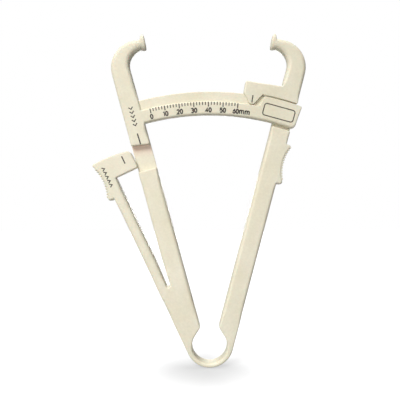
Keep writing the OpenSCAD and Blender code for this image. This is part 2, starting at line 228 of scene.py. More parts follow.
def outline(items, fine=()):
    """[(x, y, nx, ny)]: points with the outward vector that an inset of 1 moves them back along.
    fine: [(test, step)] gives a smaller step on straight edges where test(midpoint) holds."""
    n = len(items) // 2
    pts = [items[2 * i][0] for i in range(n)]
    fil = [items[2 * i][1] for i in range(n)]
    edges = [items[2 * i + 1] for i in range(n)]
    ends = [[pts[i], pts[(i + 1) % n]] for i in range(n)]
    round_ = [None] * n
    for i in range(n):
        e1, e2, p = edges[i - 1], edges[i], pts[i]
        t1 = tangent(e1, pts[i - 1], p, p)
        t2 = tangent(e2, p, pts[(i + 1) % n], p)
        cr = t1[0] * t2[1] - t1[1] * t2[0]
        if fil[i] <= 0 or abs(cr) < 0.02:
            continue
        s = 1 if cr > 0 else -1
        f = fil[i]
        made = []
        for e, t in ((e1, t1), (e2, t2)):
            if e is None:
                made.append(("l", (p[0] - t[1] * s * f, p[1] + t[0] * s * f), t))
            else:
                made.append(("c", e[0], math.dist(p, e[0]) - e[1] * s * f))
        c = min(crossings(*made), key=lambda x: math.dist(x, p))
        q = []
        for e, t in ((e1, t1), (e2, t2)):
            if e is None:
                w = sub(c, p)
                a = w[0] * t[0] + w[1] * t[1]
                q.append((p[0] + a * t[0], p[1] + a * t[1]))
            else:
                u = unit(sub(c, e[0]))
                r = math.dist(p, e[0])
                q.append((e[0][0] + u[0] * r, e[0][1] + u[1] * r))
        round_[i] = (c, f, s, q[0], q[1])
        ends[i - 1][1], ends[i][0] = q[0], q[1]
    out = []

    def arc(c, turn, a, b, inner_only):
        r = math.dist(c, a)
        a0 = math.atan2(a[1] - c[1], a[0] - c[0])
        sweep = (math.atan2(b[1] - c[1], b[0] - c[0]) - a0) * turn % (2 * math.pi)
        k = max(2, math.ceil(sweep / min(math.radians(ARC_STEP), 2.2 * math.sqrt(ARC_SAG / r))))
        for j in range(1 if inner_only else 0, k if inner_only else k + 1):
            t = a0 + turn * sweep * j / k
            u = (math.cos(t), math.sin(t))
            out.append((c[0] + r * u[0], c[1] + r * u[1], u[0] * turn, u[1] * turn))

    for i in range(n):
        if round_[i]:
            c, f, s, a, b = round_[i]
            arc(c, s, a, b, False)
        else:
            t1 = tangent(edges[i - 1], pts[i - 1], pts[i], pts[i])
            t2 = tangent(edges[i], pts[i], pts[(i + 1) % n], pts[i])
            n1, n2 = (t1[1], -t1[0]), (t2[1], -t2[0])
            k = 1 + n1[0] * n2[0] + n1[1] * n2[1]
            out.append((pts[i][0], pts[i][1], (n1[0] + n2[0]) / k, (n1[1] + n2[1]) / k))
        a, b = ends[i]
        if edges[i] is None:
            mid = ((a[0] + b[0]) / 2, (a[1] + b[1]) / 2)
            st = min([STRAIGHT_STEP] + [s for test, s in fine if test(mid)])
            t = unit(sub(b, a))
            k = max(1, math.ceil(math.dist(a, b) / st))
            for j in range(1, k):
                out.append((a[0] + (b[0] - a[0]) * j / k, a[1] + (b[1] - a[1]) * j / k, t[1], -t[0]))
        else:
            arc(edges[i][0], edges[i][1], a, b, True)
    return out


# ---------------------------------------------------------------- slabs
BOTTOM_STEPS, TOP_STEPS = 3, 5


def slab(path, z0, z1, top, bottom=0.0):
    """Closed bmesh in mm of an outline between two heights, its upper and lower edges rounded by top and
    bottom (mm, or functions of the place)."""
    bm = bmesh.new()
    rt = [top(p) if callable(top) else top for p in path]
    rb = [bottom(p) if callable(bottom) else bottom for p in path]
    rings = []
    nb, nt = BOTTOM_STEPS * (max(rb) > 0), TOP_STEPS * (max(rt) > 0)
    for k in range(nb + 1):
        a = math.pi / 2 * k / nb if nb else math.pi / 2
        rings.append([(r * (1 - math.sin(a)), z0 + r * (1 - math.cos(a)) if nb else z0) for r in rb])
    for k in range(nt + 1):
        a = math.pi / 2 * k / nt if nt else 0
        rings.append([(r * (1 - math.cos(a)), z1 - r * (1 - math.sin(a)) if nt else z1) for r in rt])
    made = [[bm.verts.new((x - nx * d, y - ny * d, z)) for (x, y, nx, ny), (d, z) in zip(path, ring)]
            for ring in rings]
    m = len(path)
    for a, b in zip(made, made[1:]):
        for i in range(m):
            j = (i + 1) % m
            bm.faces.new((a[i], a[j], b[j], b[i]))
    for ring, up in ((made[0], False), (made[-1], True)):
        flat_pts = [Vector((v.co.x, v.co.y)) for v in ring]
        found = delaunay_2d_cdt(flat_pts, [(i, (i + 1) % m) for i in range(m)], [], 1, 1e-6)
        for tri in found[2]:
            c = [ring[found[3][i][0]] for i in tri]
            area = (c[1].co - c[0].co).cross(c[2].co - c[0].co).z
            bm.faces.new(c if (area > 0) == up else c[::-1])
    bmesh.ops.remove_doubles(bm, verts=bm.verts, dist=1e-4)
    return bm


def plane_of(frame_of, x=None, y=None):
    """Upright plane along a line x = const or y = const of a leaning frame, as (point, normal)."""
    a = frame_of(x if x is not None else 0, y if y is not None else 0)
    b = frame_of(x + 1 if x is not None else 0, y + 1 if y is not None else 0)
    n = unit(sub(b, a))
    return (Vector((a[0], a[1], 0)), Vector((n[0], n[1], 0)))


def flat(z):
    return (Vector((0, 0, z)), Vector((0, 0, 1)))


def carve(bm, planes, keep):
    """Copy of bm split by planes, with only the faces whose middle (mm) keep() accepts, closed again."""
    out = bm.copy()
    for co, no in planes:
        geom = out.verts[:] + out.edges[:] + out.faces[:]
        bmesh.ops.bisect_plane(out, geom=geom, dist=1e-4, plane_co=co, plane_no=no)
    middles = [(f, f.calc_center_median()) for f in out.faces]
    drop = [f for f, c in middles if not keep((c.x, c.y), c.z)]
    bmesh.ops.delete(out, geom=drop, context="FACES")
    rim = [e for e in out.edges if e.is_boundary]
    if rim:
        new = bmesh.ops.holes_fill(out, edges=rim, sides=0)["faces"]
        out.normal_update()
        bmesh.ops.triangulate(out, faces=new)
    bmesh.ops.recalc_face_normals(out, faces=out.faces)
    return out


def merge(*parts):
    out = bmesh.new()
    for p in parts:
        me = bpy.data.meshes.new("part")
        p.to_mesh(me)
        out.from_mesh(me)
        bpy.data.meshes.remove(me)
    return out


SHARP = 32                   # edges steeper than this stay sharp


def mesh_object(name, bm, material):
    me = bpy.data.meshes.new(name)
    bm.to_mesh(me)
    me.transform(Matrix.Scale(MM, 4))
    me.materials.append(material)
    for p in me.polygons:
        p.use_smooth = True
    me.set_sharp_from_angle(angle=math.radians(SHARP))
    o = bpy.data.objects.new(name, me)
    bpy.context.scene.collection.objects.link(o)
    w = o.modifiers.new("even_faces", "WEIGHTED_NORMAL")
    w.mode = "FACE_AREA"
    w.weight = 60
    w.keep_sharp = True
    return o


# ---------------------------------------------------------------- materials
IVORY_LOW, IVORY_HIGH = (0.730, 0.690, 0.540), (0.795, 0.758, 0.628)
# tint of the painted shade on the left arm's recess floor, below its wall
RECESS_SHADE_TINT = (1.0, 0.865, 0.875, 1)
INK_DARK, INK_LIGHT = (0.018, 0.013, 0.010), (0.060, 0.048, 0.036)


def nodes_of(owner):
    owner.use_nodes = True
    return owner.node_tree


def node(tree, kind, values=None, **settings):
    """New shader node. values: {socket name or number: a value, or the socket that feeds it}."""
    made = tree.nodes.new("ShaderNode" + kind)
    for key, value in settings.items():
        setattr(made, key, value)
    for key, value in (values or {}).items():
        feed(tree, made, key, value)
    return made


def feed(tree, to, key, value):
    if isinstance(value, bpy.types.NodeSocket):
        tree.links.new(value, to.inputs[key])
    else:
        to.inputs[key].default_value = value


def maths(tree, kind, a, b):
    return node(tree, "Math", {0: a, 1: b}, operation=kind).outputs[0]


def noise(tree, place, scale, detail, **more):
    return node(tree, "TexNoise", {"Vector": place, "Scale": scale, "Detail": detail, **more}).outputs["Fac"]


def map_range(tree, value, low, high, to_low=0.0, to_high=1.0, **settings):
    return node(tree, "MapRange", {"Value": value, "From Min": low, "From Max": high, "To Min": to_low,
                                   "To Max": to_high}, **settings).outputs["Result"]


def ramp(tree, value, low, low_colour, high, high_colour):
    made = node(tree, "ValToRGB", {"Fac": value})
    for stop, place, colour in zip(made.color_ramp.elements, (low, high), (low_colour, high_colour)):
        stop.position = place
        stop.color = (*colour, 1)
    return made.outputs["Color"]


def multiply(tree, amount, colour, by):
    """Multiplies a colour. The Mix node has several sockets of one name, so its colours go by number."""
    mix = node(tree, "Mix", {0: amount, 6: colour, 7: by}, data_type="RGBA", blend_type="MULTIPLY")
    return mix.outputs[2]


def bump(tree, strength, depth, height, **more):
    values = {"Strength": strength, "Distance": depth, "Height": height, **more}
    return node(tree, "Bump", values).outputs["Normal"]


def rub(tree, place, colour):
    """Painted shade: darkens colour and tints it towards red on the recess floor of the left arm, most at the
    wall (a circle about Q), where the wall's shadow falls.
    """
    plan = node(tree, "VectorMath", {0: place, 1: (1, 1, 0)}, operation="MULTIPLY")
    away = node(tree, "VectorMath", {0: plan.outputs[0], 1: (Q[0] * MM, Q[1] * MM, 0)},
                operation="DISTANCE").outputs["Value"]
    height = node(tree, "SeparateXYZ", {0: place}).outputs["Z"]
    amount = map_range(tree, away, (REC_R - 7.5) * MM, (REC_R - 1.5) * MM, interpolation_type="SMOOTHSTEP")
    for kind, value, limit in (("LESS_THAN", away, REC_R + 0.2), ("LESS_THAN", height, T - 1.2),
                               ("GREATER_THAN", height, BACK - 0.1)):
        amount = maths(tree, "MULTIPLY", amount, maths(tree, kind, value, limit * MM))
    return multiply(tree, amount, colour, RECESS_SHADE_TINT)


def plastic(name, painted_shade=False):
    """Warm ivory moulding: faint flow mottling, fine satin grain, a little light let in at the edges.
    The second argument adds this painted shade: a reddish darkening on the recess floor below its wall, where
    the wall's shadow falls."""
    mat = bpy.data.materials.new(name)
    tree = nodes_of(mat)
    bsdf = tree.nodes["Principled BSDF"]
    place = node(tree, "TexCoord").outputs["Object"]
    broad = noise(tree, place, 55, 5, Roughness=0.55)
    mottled = ramp(tree, broad, 0.32, IVORY_LOW, 0.70, IVORY_HIGH)
    fleck = map_range(tree, noise(tree, place, 900, 2), 0.25, 0.75, 0.955, 1.03)
    colour = multiply(tree, 1.0, mottled, fleck)
    if painted_shade:
        colour = rub(tree, place, colour)
    satin = map_range(tree, noise(tree, place, 240, 4), 0.3, 0.7, 0.36, 0.50)
    wave = bump(tree, 0.25, 0.0004, broad)
    grain = bump(tree, 0.12, 0.00005, noise(tree, place, 2600, 3), Normal=wave)
    for key, value in {"Base Color": colour, "Roughness": satin, "Normal": grain, "IOR": 1.46,
                       "Specular IOR Level": 0.16, "Subsurface Weight": 0.12, "Subsurface Scale": 1.0,
                       "Subsurface Radius": (0.0028, 0.0011, 0.0007)}.items():
        feed(tree, bsdf, key, value)
    return mat


def printed(name):
    """Pad-printed ink: dark warm brown, slightly uneven cover."""
    mat = bpy.data.materials.new(name)
    tree = nodes_of(mat)
    bsdf = tree.nodes["Principled BSDF"]
    cover = noise(tree, node(tree, "TexCoord").outputs["Object"], 1500, 3)
    colour = ramp(tree, cover, 0.35, INK_DARK, 0.75, INK_LIGHT)
    for key, value in {"Base Color": colour, "Roughness": map_range(tree, cover, 0.0, 1.0, 0.5, 0.7),
                       "Normal": bump(tree, 0.1, 0.00003, cover)}.items():
        feed(tree, bsdf, key, value)
    return mat


ink = printed("brown_black_ink")

# ---------------------------------------------------------------- shared stretches of outline
# Where the outer edges of the lever and the right arm touch the ring
A0 = V(-L_OUT, O2_Y * math.cos(math.radians(LEVER)))
A1 = R(-OUT, O2_Y * math.cos(math.radians(LEAN)))
# Middle of a pad's face, in the arm's frame
PAD_M = (PAD_R * math.sin(math.radians(PAD_A)), PAD_R * math.cos(math.radians(PAD_A)))


def neck(x, side):
    """Height of the neck's upper (+1) or lower (-1) side in the arm's frame."""
    a = math.radians(PAD_A)
    return PAD_M[1] + (PAD_M[0] - x) * math.tan(a) + side * NECK / math.cos(a)


# Centres of a jaw's outer and inner bend
BO = (BEND_OUT - OUT, neck(BEND_OUT - OUT, 1) - BEND_OUT)
BI = (BEND_IN + PAST, neck(BEND_IN + PAST, -1) - BEND_IN)
NX = PAD_M[0] + 5            # the neck's outline runs on to here, and is cut off at the pad
FINGER_C = (-OUT - 0.5 - REST_R, FINGER_Y)
THUMB_C = (-L_OUT - 1.1 - REST_R, THUMB_Y)
THUMB_LOW = THUMB_Y - 11.4
THUMB_END = THUMB_Y + 8.7


def hollow_x(centre, y):
    """Where a rest's hollow is at height y."""
    return centre[0] + math.sqrt(REST_R ** 2 - (y - centre[1]) ** 2)


def finger_rest():
    return [(R(-OUT, FINGER_LOW), 0.5), None, (R(hollow_x(FINGER_C, FINGER_LOW), FINGER_LOW), 1.5),
            (R(*FINGER_C), -1), (R(hollow_x(FINGER_C, FINGER_TOP), FINGER_TOP), CORNER), None,
            (R(-OUT, FINGER_TOP), 0.5), None]


def thumb_rest(start):
    """From a point on the hollow down to the lever's outer edge."""
    return [(start, 1.0), (V(*THUMB_C), -1), (V(hollow_x(THUMB_C, THUMB_LOW), THUMB_LOW), 1.5), None,
            (V(-L_OUT, THUMB_LOW), 0.5), None]


def right_hook():
    """Outer bend, neck and inner bend of the right jaw."""
    return [(R(-OUT, BO[1]), 0), (R(*BO), 1), (R(BO[0], neck(BO[0], 1)), 0), None,
            (R(NX, neck(NX, 1)), 0), None, (R(NX, neck(NX, -1)), 0), None,
            (R(BI[0], neck(BI[0], -1)), 0), (R(*BI), -1), (R(PAST, BI[1]), 0), None]


def left_hook():
    """The left jaw's, walked the other way round."""
    return [(L(PAST, BI[1]), 0), (L(*BI), -1), (L(BI[0], neck(BI[0], -1)), 0), None,
            (L(NX, neck(NX, -1)), 0), None, (L(NX, neck(NX, 1)), 0), None,
            (L(BO[0], neck(BO[0], 1)), 0), (L(*BO), 1), (L(-OUT, BO[1]), 0), None]


def mouth_and_bore():
    corner = (MOUTH_Y * math.sin(math.radians(LEAN)) - PAST) / math.cos(math.radians(LEAN))
    foot = math.sqrt(RING_R ** 2 - (MOUTH_FOOT - RING_Y) ** 2)
    return [((corner, MOUTH_Y), 1.3), None, ((foot, MOUTH_FOOT), 0), ((0, RING_Y), -1),
            ((-foot, MOUTH_FOOT), 0), None, ((-corner, MOUTH_Y), 1.3), None]


def slot():
    end = SLOT_Y + 15
    return [(V(arm_edge_x(end), end), 0), None, (V(SLOT_X + SLOT_R, SLOT_Y), 0), (V(SLOT_X, SLOT_Y), -1),
            (V(SLOT_X - SLOT_R, SLOT_Y), 0), None, (V(-L_IN, end), 0), None]


HEAD_X = PIV[0] + PAST + 0.5 - Q_ARM[0]       # head's right end: 0.5 past the arm's inner edge when pressed
REC_R = HEAD_R + 2.0         # wall of the recess, about the lever's hinge
REC_LOW = HEAD_Y - PIV[1] + Q_ARM[1] - 0.6    # lower wall of the recess: 0.6 below the pressed head
WALL_Y = on_circle_y(Q_ARM, REC_R, -OUT)
HEAD_TIP = max(crossings(("c", THUMB_C, REST_R), ("c", PIV, HEAD_R)), key=lambda p: p[1])


def on_flexure(p):
    x, y = to_V(p)
    return 45 < y < 70 and x < 1.5


fine = [(on_flexure, 1.0)]   # small steps where the lever bends


def inner_at(y):
    """Right arm's inner edge at height y of the pointer frame."""
    a = math.radians(LEAN - POINTER)
    return (-PAST + y * math.sin(a)) / math.cos(a)


def ease(v, a, b):
    """0 up to a, 1 from b on, smooth between them."""
    t = min(max((v - a) / (b - a), 0), 1)
    return t * t * (3 - 2 * t)


def between(low, high, share):
    return low + (high - low) * share


def rounding(base):
    """Edge rounding that grows along the jaws until the neck is round."""
    def of(p):
        q = to_L(p) if p[0] < 0 else to_R(p)
        along = min(max((q[1] - NECK_STARTS[0]) / (NECK_STARTS[1] - NECK_STARTS[0]), 0), 1)
        before_pad = min(max((PAD_M[0] + 3.0 - q[0]) / 2.0, 0), 1)
        full = 0
        if base > EDGE_B and p[0] < 0:
            # front of the left arm: wide above the recess, tight where the scale leaves the arm
            full = ease(q[1], WALL_Y + 1, WALL_Y + 6)
            if q[0] > PAST - 0.6:
                from_scale = abs(math.hypot(*p) - (RAIL + SCALE) / 2) - (SCALE - RAIL) / 2
                full *= ease(from_scale, 0.3, 4)
        elif base > EDGE_B:
            # front of the right arm: wide above the bridge on the outside, above the flag on the inside
            full = ease(q[1], 150, 156) if q[0] < -OUT + 0.4 else ease(q[1], 157.5, 162)
        return between(between(base, EDGE_ARM, full), EDGE_NECK, ease(along * before_pad, 0, 1))
    return of


def lower_round(p):
    """Front edges below the recesses: full along the arms and the lever, tight at the rests and the head."""
    if p[1] < ARM_STARTS[0]:
        bore = math.hypot(p[0], p[1] - RING_Y) < RING_R + 0.3
        return between(EDGE_T, EDGE_BORE, (1 - ease(p[1], *BORE_FADES)) * bore)
    if p[0] > 0:
        q = to_R(p)
        full = ease(q[1], *ARM_STARTS) * (1 - ease(q[1], *ARM_ENDS))
        rest = ease(q[1], *REST_STARTS) * (1 - ease(q[1], *REST_ENDS)) * (q[0] < -OUT + 0.3)
        hollow = between(EDGE_REST, EDGE_T, ease(q[1], *REST_TIP))
        return between(between(EDGE_T, EDGE_ARM, full), hollow, rest)
    q, v = to_L(p), to_V(p)
    if v[1] > SLOT_Y - 2 and q[0] < -OUT - 0.4:
        ends = (THUMB_LOW - 10, THUMB_LOW - 2) if v[0] < -5 else (HEAD_Y - 6, HEAD_Y - 2)
        full = ease(v[1], *LEVER_STARTS) * (1 - ease(v[1], *ends))
        rest = ease(v[1], THUMB_LOW - 2, THUMB_LOW + 1) * (v[0] < -L_OUT - 0.2)
        hollow = between(EDGE_REST, EDGE_T, ease(v[1], HEAD_TIP[1] - 6, HEAD_TIP[1] - 2.5))
        return between(between(EDGE_T, EDGE_ARM, full), hollow, rest)
    if q[0] < -OUT + 0.4 and SLOT_Y - 6 < v[1] < SLOT_Y + 6:
        return EDGE_T
    return between(EDGE_T, EDGE_ARM, ease(q[1], *ARM_STARTS) * (1 - ease(q[1], REC_LOW - 7, REC_LOW - 3)))


def is_tip(q):
    """Whether a point of the pointer's frame lies on its tip."""
    return RAIL_TOP + 0.2 < q[1] < FOOT + 0.1 and abs(q[0]) < 6


def front_round(p):
    """Front edges above the recesses: tight along the seam, generous under the scale."""
    q, r = to_P(p), math.hypot(*p)
    phi = math.degrees(math.atan2(p[0], p[1]))
    if p[0] > 0 and SCALE + 0.1 < r < FOOT + 3 or is_tip(q):
        far = ease(r, RAIL_TOP + 1.2, RAIL_TOP + 3) if q[0] < 0 else ease(r, FOOT + 0.2, FOOT + 3)
        return between(EDGE_SEAM, EDGE_T, far)
    if r < SCALE + 0.3 and to_L(p)[0] > PAST + 0.3 and phi < BR1 + 1:
        low = between(EDGE_RAIL, EDGE_T, ease(r, RAIL + 0.3, RAIL + 2.5))
        seam = 1.0 * (phi > BR0 - 0.3 and r > RAIL_TOP - 0.2)
        if phi > BR1 - 0.6:
            seam = ease(r, SCALE - 2.5, SCALE - 0.4)
        return between(low, EDGE_SEAM, seam)
    return rounding(EDGE_T)(p)


# ---------------------------------------------------------------- slabs of the moulding
lower_front = slab(outline(
    [(A0, 0), ((0, O2_Y), 1), (A1, 0), None] + finger_rest()
    + [(R(-OUT, height_on(REST_LOW, OUT)), CORNER), (O, 1),
       (R(PAST, height_on(REST_LOW, PAST)), CORNER), None]
    + mouth_and_bore()
    + [(L(PAST, REC_LOW), CORNER), None, (L(-OUT, REC_LOW), CORNER), None]
    + slot()
    + [(V(-L_IN, HEAD_Y), 0.5), None, (V(HEAD_X, HEAD_Y), 1.0), None,
       (V(HEAD_X, on_circle_y(PIV, HEAD_R, HEAD_X)), 3.0), (Q, 1)]
    + thumb_rest(V(*HEAD_TIP)), fine=fine), BACK, T, top=lower_round)

upper_left = slab(outline(
    [(L(-OUT, WALL_Y), CORNER), (Q, -1), (L(PAST, on_circle_y(Q_ARM, REC_R, PAST)), CORNER), None,
     (L(PAST, height_on(RAIL, PAST)), 0.7), (O, -1),
     (pol(RAIL, BR1), 2.2), None, (pol(SCALE, BR1), CORNER), (O, 1),
     (pol(SCALE, BR0 + math.degrees(1.5 / SCALE)), 0.9), None, (pol(RAIL_TOP, BR0), 0.5), (O, 1),
     (L(PAST, height_on(RAIL_TOP, PAST)), 0.6), None] + left_hook()), BACK, T, top=front_round)

flag_top = [(P(inner_at(FLAG_TOP), FLAG_TOP), 1.0), None, (P(-FLAG_L, FLAG_TOP), CORNER), None]
upper_right_path = outline(
    [(P(-FLAG_L, FOOT - 0.6), 1.0), None, (P(-TIP_END, RAIL_TOP + 0.3), 0.5), None,
     (P(TIP_END, RAIL_TOP + 0.3), 0.5), None, (P(TIP_ROOT, height_on(FOOT, TIP_ROOT)), 0.6), (O, -1),
     (R(-OUT, height_on(FOOT, OUT)), 0.6), None] + right_hook() + flag_top)
upper_right_tip = slab(upper_right_path, TIP, T, top=front_round)
upper_right = slab(upper_right_path, BACK, T, top=front_round)

back_path = outline(
    [(A0, 0), ((0, O2_Y), 1), (A1, 0), None] + finger_rest() + right_hook() + flag_top
    + [(P(-FLAG_L, height_on(FOOT, FLAG_L)), 0.7), (O, -1), (R(PAST, height_on(FOOT, PAST)), 0.5), None]
    + mouth_and_bore() + left_hook() + slot()
    + [(V(-L_IN, THUMB_END), 0.9), None]
    + thumb_rest(V(hollow_x(THUMB_C, THUMB_END), THUMB_END)), fine=fine)
back = slab(back_path, 0, BACK, top=0.0, bottom=rounding(EDGE_B))
back_lever = slab(back_path, 0, FRONT, top=0.0, bottom=rounding(EDGE_B))

# ---------------------------------------------------------------- pieces cut from the slabs
EPS = 1e-3                   # keeps faces that lie on a cut on one side of it
cut_ring = (Vector((0, RING_TOP, 0)), Vector((0, 1, 0)))
cut_root = plane_of(V, y=SLOT_Y)
cut_flex = plane_of(V, y=FLEX_END)
cut_head = plane_of(V, y=HEAD_Y)
cut_thumb = plane_of(V, x=-L_OUT)
cut_finger = plane_of(R, x=-OUT)
cut_left_in = plane_of(L, x=PAST)
cut_right_in = plane_of(R, x=PAST)
cut_left_jaw = plane_of(L, y=JAW_Y)
cut_right_jaw = plane_of(R, y=JAW_Y)
cut_foot = plane_of(P, y=FOOT)
cut_tip = plane_of(P, x=TIP_ROOT)
b0 = math.radians(BR0)
cut_bridge = (Vector((0, 0, 0)), Vector((math.cos(b0), -math.sin(b0), 0)))


def neck_plane(f):
    """Where the neck ends and the pad starts, in the frame L or R."""
    a = math.radians(PAD_A)
    c = (PAD_M[0] - PAD_L * math.cos(a), PAD_M[1] + PAD_L * math.sin(a))
    p, q = f(*c), f(c[0] + math.cos(a), c[1] - math.sin(a))
    n = unit(sub(q, p))
    return (Vector((p[0], p[1], 0)), Vector((n[0], n[1], 0)))


cut_neck_l, cut_neck_r = neck_plane(L), neck_plane(R)


def beyond(plane, p):
    co, no = plane
    return (Vector((p[0], p[1], 0)) - co).dot(no) > 0


def on_lever(p, z):
    x, y = to_V(p)
    if y < SLOT_Y or p[0] > 0:
        return False
    if y < HEAD_Y - 6:
        return x < SLOT_X + (y - SLOT_Y) * math.tan(math.radians(5.0))
    # near the head: all that lies outside the left arm, and what of the head's own plate reaches over it
    arm_x, arm_y = to_L(p)
    in_head = z > BACK - EPS and HEAD_Y - EPS < y < HEAD_Y + 6
    return arm_x < -OUT - EPS or (in_head and arm_x < -OUT + 0.8 and arm_y > REC_LOW + 0.5)


def is_finger(p):
    x, y = to_R(p)
    return p[0] > 0 and x < -OUT - EPS and 100 < y < 130


def body_of_right(p):
    return p[0] > 0 and p[1] > RING_TOP


def on_tip(p):
    x, y = to_P(p)
    return y < FOOT and x < TIP_ROOT


def in_arm(q):
    """Whether a point of an arm's frame lies on the arm, below the jaw and outside the flag and the scale."""
    return q[0] < PAST + EPS and q[1] < JAW_Y


def on_left_arm(p, z):
    return p[1] > RING_TOP and p[0] < 0 and not on_lever(p, z)


def on_right_arm(p):
    return body_of_right(p) and not is_finger(p)


def on_left_jaw(p, z):
    return to_L(p)[1] > JAW_Y and p[0] < 0 and not beyond(cut_neck_l, p)


def on_right_jaw(p, z):
    return to_R(p)[1] > JAW_Y and p[0] > 0 and not beyond(cut_neck_r, p)


def on_flag(p):
    return to_R(p)[0] > PAST + EPS and to_P(p)[1] < FLAG_TOP + 1


def on_beam(p, z):
    return on_lever(p, z) and to_V(p)[1] > FLEX_END and to_V(p)[0] > -L_OUT - EPS


def on_thumb(p, z):
    return on_lever(p, z) and to_V(p)[0] < -L_OUT - EPS


def with_back(front, planes, keep):
    """A piece that is cut alike from a front slab and from the back."""
    return merge(carve(front, planes, keep), carve(back, planes, keep))


pieces = {}
pieces["spring_hinge"] = with_back(lower_front, [cut_ring], lambda p, z: p[1] < RING_TOP)
pieces["left_arm"] = merge(
    carve(lower_front, [cut_ring, cut_root], on_left_arm),
    carve(upper_left, [cut_left_in, cut_left_jaw], lambda p, z: in_arm(to_L(p))),
    carve(back, [cut_ring, cut_root, cut_left_jaw], lambda p, z: on_left_arm(p, 0) and to_L(p)[1] < JAW_Y))
pieces["right_arm"] = merge(
    carve(lower_front, [cut_ring, cut_finger], lambda p, z: on_right_arm(p)),
    carve(upper_right, [cut_right_in, cut_right_jaw], lambda p, z: in_arm(to_R(p))),
    carve(back, [cut_ring, cut_finger, cut_right_in, cut_right_jaw],
          lambda p, z: on_right_arm(p) and in_arm(to_R(p))))
pieces["finger_rest"] = with_back(lower_front, [cut_finger], lambda p, z: is_finger(p))
pieces["left_jaw"] = with_back(upper_left, [cut_left_jaw, cut_neck_l], on_left_jaw)
pieces["right_jaw"] = with_back(upper_right, [cut_right_jaw, cut_neck_r], on_right_jaw)
pieces["scale_rail"] = carve(
    upper_left, [cut_left_in, cut_bridge, cut_left_jaw, flat(FRONT)],
    lambda p, z: to_L(p)[0] > PAST + EPS and not beyond(cut_bridge, p) and math.hypot(*p) < SCALE + 0.9
    and z > FRONT - EPS)
pieces["guide_bridge"] = carve(
    upper_left, [cut_bridge, flat(FRONT)],
    lambda p, z: beyond(cut_bridge, p) and math.hypot(*p) < SCALE + 2.4 and z > FRONT - EPS)
pieces["pointer_flag"] = merge(
    carve(upper_right, [cut_right_in, cut_foot, cut_tip],
          lambda p, z: on_flag(p) and not on_tip(p) and to_P(p)[0] < inner_at(FLAG_TOP) + 2),
    carve(upper_right_tip, [cut_foot, cut_tip], lambda p, z: on_tip(p)),
    carve(back, [cut_right_in], lambda p, z: p[0] > 0 and on_flag(p) and SCALE - 0.6 < math.hypot(*p) < 159))
pieces["lever_flexure"] = with_back(lower_front, [cut_root, cut_flex],
                                    lambda p, z: on_lever(p, z) and to_V(p)[1] < FLEX_END)
pieces["press_beam"] = merge(
    carve(lower_front, [cut_flex, cut_head, cut_thumb],
          lambda p, z: on_beam(p, z) and to_V(p)[1] < HEAD_Y - EPS),
    carve(back_lever, [cut_flex, cut_head, cut_thumb], lambda p, z: on_beam(p, 0) and to_V(p)[1] > HEAD_Y),
    carve(back, [cut_flex, cut_head, cut_thumb], lambda p, z: on_beam(p, 0) and to_V(p)[1] < HEAD_Y))
pieces["press_head"] = carve(
    lower_front, [cut_head, flat(FRONT)],
    lambda p, z: on_lever(p, z) and to_V(p)[1] > HEAD_Y - EPS and z > FRONT - EPS)
pieces["thumb_rest"] = merge(
    carve(lower_front, [cut_head, cut_thumb], lambda p, z: on_thumb(p, z) and to_V(p)[1] < HEAD_Y),
    carve(back, [cut_head, cut_thumb], lambda p, z: on_thumb(p, 0) and to_V(p)[1] < HEAD_Y),
    carve(back_lever, [cut_head, cut_thumb], lambda p, z: on_thumb(p, 0) and to_V(p)[1] > HEAD_Y))
TRACK_ROOT = -0.7            # the thin band starts inside the arm, and ends inside the bridge
pieces["pointer_track"] = slab(outline(
    [(L(TRACK_ROOT, RAIL_TOP - 1), 0), (O, -1), (pol(RAIL_TOP - 1, BR0 + 0.6), 0), None,
     (pol(SCALE, BR0 + 0.6), 0), (O, 1), (L(TRACK_ROOT, height_on(SCALE, TRACK_ROOT)), 0), None]),
    FRONT, TRACK, top=0.5)


# ---------------------------------------------------------------- contact pads: a waist that flares to a rim
# Sections from the neck to the face: place along the neck, half height, half thickness, how far the middle
# has moved outward, and how square the section is (2 is an ellipse)
PAD_SECTIONS = [
    (-0.4, 2.72, 3.06, 0.0, 2.3), (0.0, 2.72, 3.06, 0.0, 2.3), (0.3, 2.78, 3.06, 0.03, 2.3),
    (0.55, 2.94, 3.07, 0.14, 2.25), (0.78, 3.24, 3.08, 0.34, 2.2), (0.95, 3.6, 3.09, 0.58, 2.2),
    (1.12, 3.94, 3.1, 0.78, 2.2), (1.35, 4.22, 3.1, 0.92, 2.2), (1.65, 4.38, 3.1, 0.98, 2.2),
    (2.0, 4.44, 3.1, 1.0, 2.2), (2.35, 4.38, 3.1, 1.0, 2.2), (2.62, 4.2, 3.05, 1.0, 2.2),
    (2.83, 3.92, 2.94, 1.0, 2.2), (2.97, 3.52, 2.76, 1.0, 2.2), (3.04, 3.0, 2.5, 1.0, 2.2)]
PAD_SIDES = 72


def skin(bm, rows):
    """Closes rows of vertices, each a ring, to a solid with flat ends."""
    for low, high in zip(rows, rows[1:]):
        for i in range(len(low)):
            j = (i + 1) % len(low)
            bm.faces.new((low[i], low[j], high[j], high[i]))
    bm.faces.new(rows[0])
    bm.faces.new(rows[-1])


def superellipse(half, power, part):
    return half * math.copysign(abs(part) ** (2 / power), part)


def pad(f):
    """Pad at the end of the neck, in the frame L or R."""
    bm = bmesh.new()
    a = math.radians(PAD_A)
    rows = []
    for along, half_h, half_t, rise, power in PAD_SECTIONS:
        row = []
        for k in range(PAD_SIDES):
            t = 2 * math.pi * (k + 0.5) / PAD_SIDES
            up = rise + superellipse(half_h, power, math.cos(t))
            back_off = PAD_L - along
            place = f(PAD_M[0] - back_off * math.cos(a) + up * math.sin(a),
                      PAD_M[1] + back_off * math.sin(a) + up * math.cos(a))
            row.append(bm.verts.new((*place, T / 2 + superellipse(half_t, power, math.sin(t)))))
        rows.append(row)
    skin(bm, rows)
    bmesh.ops.recalc_face_normals(bm, faces=bm.faces)
    return bm


pieces["left_contact_pad"] = pad(L)
pieces["right_contact_pad"] = pad(R)


